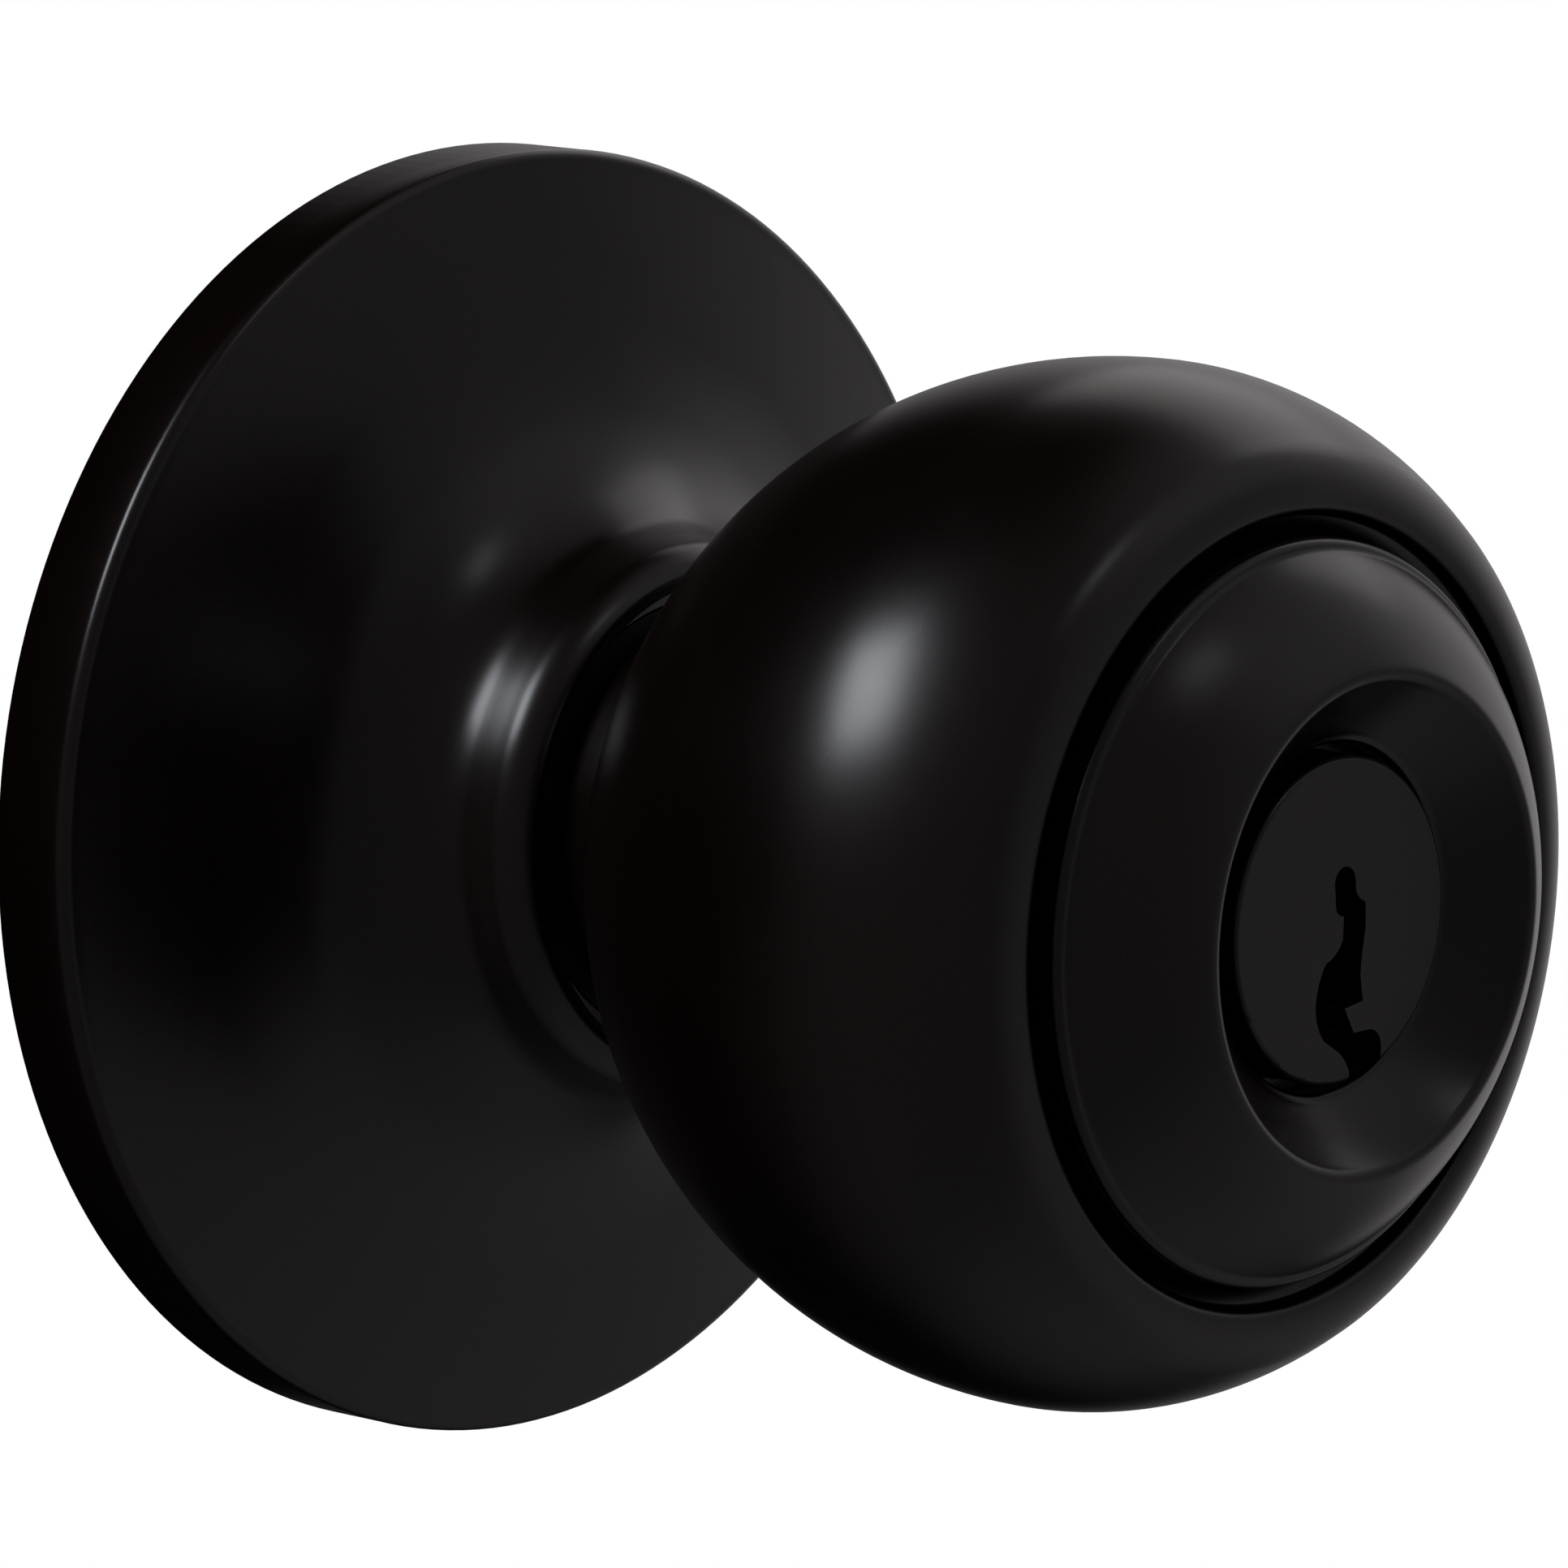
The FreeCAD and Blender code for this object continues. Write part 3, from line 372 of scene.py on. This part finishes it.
def edge_mask(tree, radius, place):
    """1 on worn edges and 0 elsewhere: where the rounded normal leaves the true one, broken up by noise."""
    rounded = tree.nodes.new("ShaderNodeBevel")
    rounded.samples = 4
    rounded.inputs["Radius"].default_value = radius
    true = tree.nodes.new("ShaderNodeNewGeometry")
    dot = tree.nodes.new("ShaderNodeVectorMath")
    dot.operation = "DOT_PRODUCT"
    tree.links.new(rounded.outputs["Normal"], dot.inputs[0])
    tree.links.new(true.outputs["Normal"], dot.inputs[1])
    edges = between(tree, dot.outputs["Value"], 0.96, 0.80, 0.0, 1.0)
    patches = between(tree, noise(tree, place, 900.0), 0.40, 0.62, 0.0, 1.0)
    return multiplied(tree, edges, patches)


def bumped(tree, shader, heights):
    """Adds bumps to the shader, each given as (height socket, strength, distance)."""
    normal = None
    for height, strength, distance in heights:
        bump = tree.nodes.new("ShaderNodeBump")
        bump.inputs["Strength"].default_value = strength
        bump.inputs["Distance"].default_value = distance
        tree.links.new(height, bump.inputs["Height"])
        if normal:
            tree.links.new(normal, bump.inputs["Normal"])
        normal = bump.outputs["Normal"]
    tree.links.new(normal, shader.inputs["Normal"])


def black_satin(name, colour=(0.0036, 0.0007, 0.0006), roughness=(0.25, 0.29), grain=0.03):
    """Satin black paint over metal: near-black with a warm cast, a very fine grain and faint cloudiness."""
    material, tree, shader, place = new_material(name)
    clouds = noise(tree, place, 90.0, detail=4.0)
    fine = noise(tree, place, 5200.0, detail=2.0)
    lighter = tuple(c * 1.45 for c in colour)
    tint = mixed(tree, between(tree, clouds, 0.35, 0.65, 0.0, 1.0), colour, lighter)
    worn = edge_mask(tree, 0.35 * MM, place)
    rubbed = multiplied(tree, worn, between(tree, clouds, 0.45, 0.6, 0.0, 0.35))
    tint = mixed(tree, rubbed, tint, (0.05, 0.047, 0.045))
    tree.links.new(tint, shader.inputs["Base Color"])
    tree.links.new(between(tree, clouds, 0.3, 0.7, *roughness), shader.inputs["Roughness"])
    shader.inputs["Specular IOR Level"].default_value = 0.5
    peel = noise(tree, place, 700.0, detail=2.0)
    bumped(tree, shader, [(fine, grain, 0.02 * MM), (peel, 0.05, 0.05 * MM)])
    return material


def plated(name, colour, second, roughness, metallic=1.0, grain=2600.0, depth=0.10,
           stretch=None, wear=None):
    """Bare or plated metal: two mixed tints, a rolled or cast grain, and edges rubbed to another tint."""
    material, tree, shader, place = new_material(name)
    clouds = noise(tree, place, 160.0, detail=5.0, roughness=0.6)
    texture = noise(tree, place, grain, detail=3.0, stretch=stretch)
    tint = mixed(tree, between(tree, clouds, 0.35, 0.65, 0.0, 1.0), colour, second)
    if wear:
        tint = mixed(tree, edge_mask(tree, 0.3 * MM, place), tint, wear)
    tree.links.new(tint, shader.inputs["Base Color"])
    tree.links.new(between(tree, texture, 0.3, 0.7, *roughness), shader.inputs["Roughness"])
    shader.inputs["Metallic"].default_value = metallic
    bumped(tree, shader, [(texture, depth, 0.03 * MM)])
    return material


def zinc_plate():
    return plated("zinc_plated_steel", (0.56, 0.57, 0.57), (0.64, 0.63, 0.58), (0.30, 0.46),
                  stretch=(1.0, 1.0, 0.25), wear=(0.78, 0.78, 0.77))


def spring_steel():
    return plated("spring_steel_wire", (0.30, 0.29, 0.28), (0.40, 0.38, 0.36), (0.24, 0.40), grain=4200.0)


def brass():
    return plated("yellow_brass", (0.72, 0.50, 0.20), (0.80, 0.60, 0.30), (0.26, 0.42),
                  stretch=(1.0, 0.2, 1.0), wear=(0.90, 0.74, 0.45))


def black_fronted_brass():
    """Brass whose front end, round the plug, has the knob's black finish."""
    material = brass()
    material.name = "black_fronted_brass"
    tree = material.node_tree
    shader = tree.nodes["Principled BSDF"]
    place = tree.nodes.new("ShaderNodeTexCoord").outputs["Object"]
    split = tree.nodes.new("ShaderNodeSeparateXYZ")
    tree.links.new(place, split.inputs["Vector"])
    front = between(tree, split.outputs["Y"], -INSERT_BACK, -INSERT_BACK - 1.0 * MM, 0.0, 1.0)
    bare = shader.inputs["Base Color"].links[0].from_socket
    tree.links.new(mixed(tree, front, bare, (0.003, 0.002, 0.002)), shader.inputs["Base Color"])
    tree.links.new(between(tree, front, 0.0, 1.0, 1.0, 0.0), shader.inputs["Metallic"])
    return material


def cast_zinc():
    return plated("cast_zinc", (0.36, 0.36, 0.37), (0.45, 0.45, 0.45), (0.42, 0.60),
                  grain=1500.0, depth=0.30)


def black_plate():
    return plated("black_plated_steel", (0.035, 0.033, 0.034), (0.055, 0.050, 0.050), (0.28, 0.42),
                  metallic=0.85, grain=3000.0, wear=(0.22, 0.20, 0.18))


def bearing_plastic():
    """Moulded acetal: off-white, waxy, with a fine spark-eroded texture."""
    material, tree, shader, place = new_material("moulded_acetal")
    clouds = noise(tree, place, 200.0, detail=3.0)
    tint = mixed(tree, between(tree, clouds, 0.3, 0.7, 0.0, 1.0), (0.62, 0.61, 0.57), (0.70, 0.69, 0.65))
    tree.links.new(tint, shader.inputs["Base Color"])
    texture = noise(tree, place, 3500.0, detail=2.0)
    tree.links.new(between(tree, texture, 0.3, 0.7, 0.42, 0.56), shader.inputs["Roughness"])
    bumped(tree, shader, [(texture, 0.15, 0.02 * MM)])
    return material


def give(piece, material):
    piece.data.materials.clear()
    piece.data.materials.append(material)


# ---- Making the object ----

finishes = {
    "black_finish": black_satin("black_satin"),
    "zinc_plate": zinc_plate(),
    "spring_steel": spring_steel(),
    "brass": brass(),
    "black_plated": black_plate(),
    "bearing_plastic": bearing_plastic(),
    "cast_hub": cast_zinc(),
}

for piece, node in ((make_ball(), "knob_shell"), (make_rose(), "rose"), (make_face_ring(), "face_insert")):
    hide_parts(node)
    give(piece, finishes["black_finish"])

posts = make_posts()
for post in posts:
    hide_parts("mounting_posts")
    give(post, finishes["zinc_plate"])

# The CAD nodes that show from behind or outside, with how far their sharp edges are rounded.
EDGED = {
    "liner_plate": 0.15 * MM,
    "latch_case": 0.15 * MM,
    "latch_tube": 0.15 * MM,
    "latch_collar": 0.30 * MM,
    "latch_bolt": 0.45 * MM,
    "latch_hub": 0.20 * MM,
    "drawbar": 0.12 * MM,
    "spindle": 0.15 * MM,
    "tailpiece": 0.12 * MM,
    "plug": 0.12 * MM,
}
springs = [sprung("bolt_spring")]
for number in range(1, 6):
    springs.append(sprung(f"driver_spring_{number}"))
for spring in springs:
    give(spring, finishes["spring_steel"])

# All that has another finish than the black one, for lights of its own.
hardware = bpy.data.collections.new("hardware")
for piece in posts + springs:
    hardware.objects.link(piece)
for node, width in EDGED.items():
    slot = frame["nodes"][node].data.materials[0].name.split(".")[0]
    piece = softened(node + "_edged", node, width)
    give(piece, finishes[slot])
    if slot != "black_finish":
        hardware.objects.link(piece)

for node in frame["nodes"].values():
    slot = node.data.materials[0].name.split(".")[0]
    give(node, finishes[slot])
    if slot != "black_finish":
        hardware.objects.link(node)
give(frame["nodes"]["cylinder_housing"], black_fronted_brass())


# ---- Floor, light and camera ----

def direction(azimuth, elevation):
    """The unit vector towards a view's azimuth and elevation in degrees: azimuth 0 stands in front of the
    knob, on the -Y side, and 90 stands at +X."""
    a, e = math.radians(azimuth), math.radians(elevation)
    return Vector((math.sin(a) * math.cos(e), -math.cos(a) * math.cos(e), math.sin(e)))


def soft_light(name, towards, across, width, height, radiance, colour):
    """A rectangular softbox in that direction from the ball, with its width along across."""
    distance = 1.0
    middle = Vector((0.0, -0.02, 0.0))
    light = bpy.data.lights.new(name, "AREA")
    light.shape = "RECTANGLE"
    light.size = width
    light.size_y = height
    light.color = colour
    light.energy = radiance * width * height * math.pi
    lamp = bpy.data.objects.new(name, light)
    bpy.context.scene.collection.objects.link(lamp)
    z = Vector(towards).normalized()
    x = Vector(across)
    x = (x - z * x.dot(z)).normalized()
    y = z.cross(x)
    lamp.matrix_world = frame_of(x, y, z, middle + z * distance)
    lamp.visible_camera = False
    return lamp


def frame_of(x, y, z, place):
    matrix = Matrix((x, y, z)).transposed().to_4x4()
    matrix.translation = place
    return matrix


def make_camera():
    """A long lens in front, to the left and a little above."""
    azimuth = -47.6
    elevation = 9.6
    distance = 0.416
    shift = 0.016
    camera = bpy.data.cameras.new("camera")
    camera.sensor_width = 36.0
    camera.lens = 185.4
    camera.clip_start = 0.01
    camera.dof.use_dof = False
    holder = bpy.data.objects.new("camera", camera)
    bpy.context.scene.collection.objects.link(holder)
    back = direction(azimuth, elevation)
    right = Vector((0.0, 0.0, 1.0)).cross(back).normalized()
    up = back.cross(right)
    holder.matrix_world = frame_of(right, up, back, back * distance + right * shift)
    bpy.context.scene.camera = holder


def make_world():
    """White to the camera. To the object it is a dim room with soft pale patches, the brightest of them
    to the right."""
    world = bpy.data.worlds.new("studio")
    bpy.context.scene.world = world
    world.use_nodes = True
    tree = world.node_tree
    tree.nodes.clear()
    place = tree.nodes.new("ShaderNodeTexCoord").outputs["Generated"]
    total = None
    # each lobe: where it is, the cosines at its edge and where it is full, and its strength
    lobes = [
        ((-0.50, -0.84, -0.22), -0.45, 0.40, 0.115),
        ((0.75, -0.60, 0.08), 0.30, 0.90, 0.085),
        ((0.35, -0.35, -0.87), 0.60, 0.95, 0.07),
        ((1.0, 0.2, 0.1), 0.65, 0.98, 0.50),
        ((0.55, -0.45, 0.85), 0.80, 0.98, 0.16),
    ]
    for towards, edge, full, strength in lobes:
        dot = tree.nodes.new("ShaderNodeVectorMath")
        dot.operation = "DOT_PRODUCT"
        dot.inputs[1].default_value = Vector(towards).normalized()
        tree.links.new(place, dot.inputs[0])
        lobe = between(tree, dot.outputs["Value"], edge, full, 0.0, strength)
        if total is None:
            total = lobe
        else:
            add = tree.nodes.new("ShaderNodeMath")
            tree.links.new(total, add.inputs[0])
            tree.links.new(lobe, add.inputs[1])
            total = add.outputs["Value"]
    room_level = 0.003
    add = tree.nodes.new("ShaderNodeMath")
    add.inputs[1].default_value = room_level
    tree.links.new(total, add.inputs[0])
    room = tree.nodes.new("ShaderNodeBackground")
    room.inputs["Color"].default_value = (1.0, 0.96, 0.98, 1.0)
    tree.links.new(add.outputs["Value"], room.inputs["Strength"])
    white = tree.nodes.new("ShaderNodeBackground")
    white.inputs["Color"].default_value = (1.0, 1.0, 1.0, 1.0)
    chooser = tree.nodes.new("ShaderNodeMixShader")
    path = tree.nodes.new("ShaderNodeLightPath")
    tree.links.new(path.outputs["Is Camera Ray"], chooser.inputs["Fac"])
    tree.links.new(room.outputs["Background"], chooser.inputs[1])
    tree.links.new(white.outputs["Background"], chooser.inputs[2])
    output = tree.nodes.new("ShaderNodeOutputWorld")
    tree.links.new(chooser.outputs["Shader"], output.inputs["Surface"])


def make_floor():
    """A wide pale floor well below, lit evenly and throwing no light of its own on the object."""
    half = 6.0
    depth = -0.35
    mesh = bpy.data.meshes.new("floor")
    corners = [(-half, -half, depth), (half, -half, depth), (half, half, depth), (-half, half, depth)]
    mesh.from_pydata(corners, [], [(0, 1, 2, 3)])
    floor = bpy.data.objects.new("floor", mesh)
    bpy.context.scene.collection.objects.link(floor)
    material = bpy.data.materials.new("pale_floor")
    material.use_nodes = True
    tree = material.node_tree
    tree.nodes.clear()
    glow = tree.nodes.new("ShaderNodeEmission")
    glow.inputs["Color"].default_value = (1.0, 1.0, 1.0, 1.0)
    output = tree.nodes.new("ShaderNodeOutputMaterial")
    tree.links.new(glow.outputs["Emission"], output.inputs["Surface"])
    mesh.materials.append(material)
    floor.visible_glossy = False
    floor.visible_diffuse = False


bpy.context.scene.view_settings.view_transform = "Standard"
make_camera()
make_world()
make_floor()

COOL = (0.91, 0.94, 1.0)
PALE = (0.93, 0.95, 1.0)
WARM = (1.0, 0.97, 0.95)
NEUTRAL = (1.0, 0.99, 0.97)
UPRIGHT = (0.0, 0.0, 1.0)

# name, towards, across, width, height, radiance, colour
SOFTBOXES = [
    ("left_softbox", (-0.66, 0.24, 0.63), (-0.01, -0.41, 0.17), 0.32, 0.38, 10.0, COOL),
    ("right_softbox", (0.74, 0.22, 0.58), (0.15, -0.78, 0.09), 0.80, 0.45, 0.60, WARM),
    ("top_softbox", (0.02, -0.54, 0.83), (1.0, 0.0, 0.0), 0.20, 0.12, 1.8, PALE),
]
for softbox in SOFTBOXES:
    soft_light(*softbox)

# Two wide panels light only the pieces that don't have the black finish.
REAR_PANELS = [
    ("rear_panel", (0.35, 0.85, 0.40), UPRIGHT, 1.1, 1.3, 0.9, NEUTRAL),
    ("side_panel", (0.95, -0.10, 0.30), UPRIGHT, 1.1, 1.3, 0.5, NEUTRAL),
]
for panel in REAR_PANELS:
    soft_light(*panel).light_linking.receiver_collection = hardware
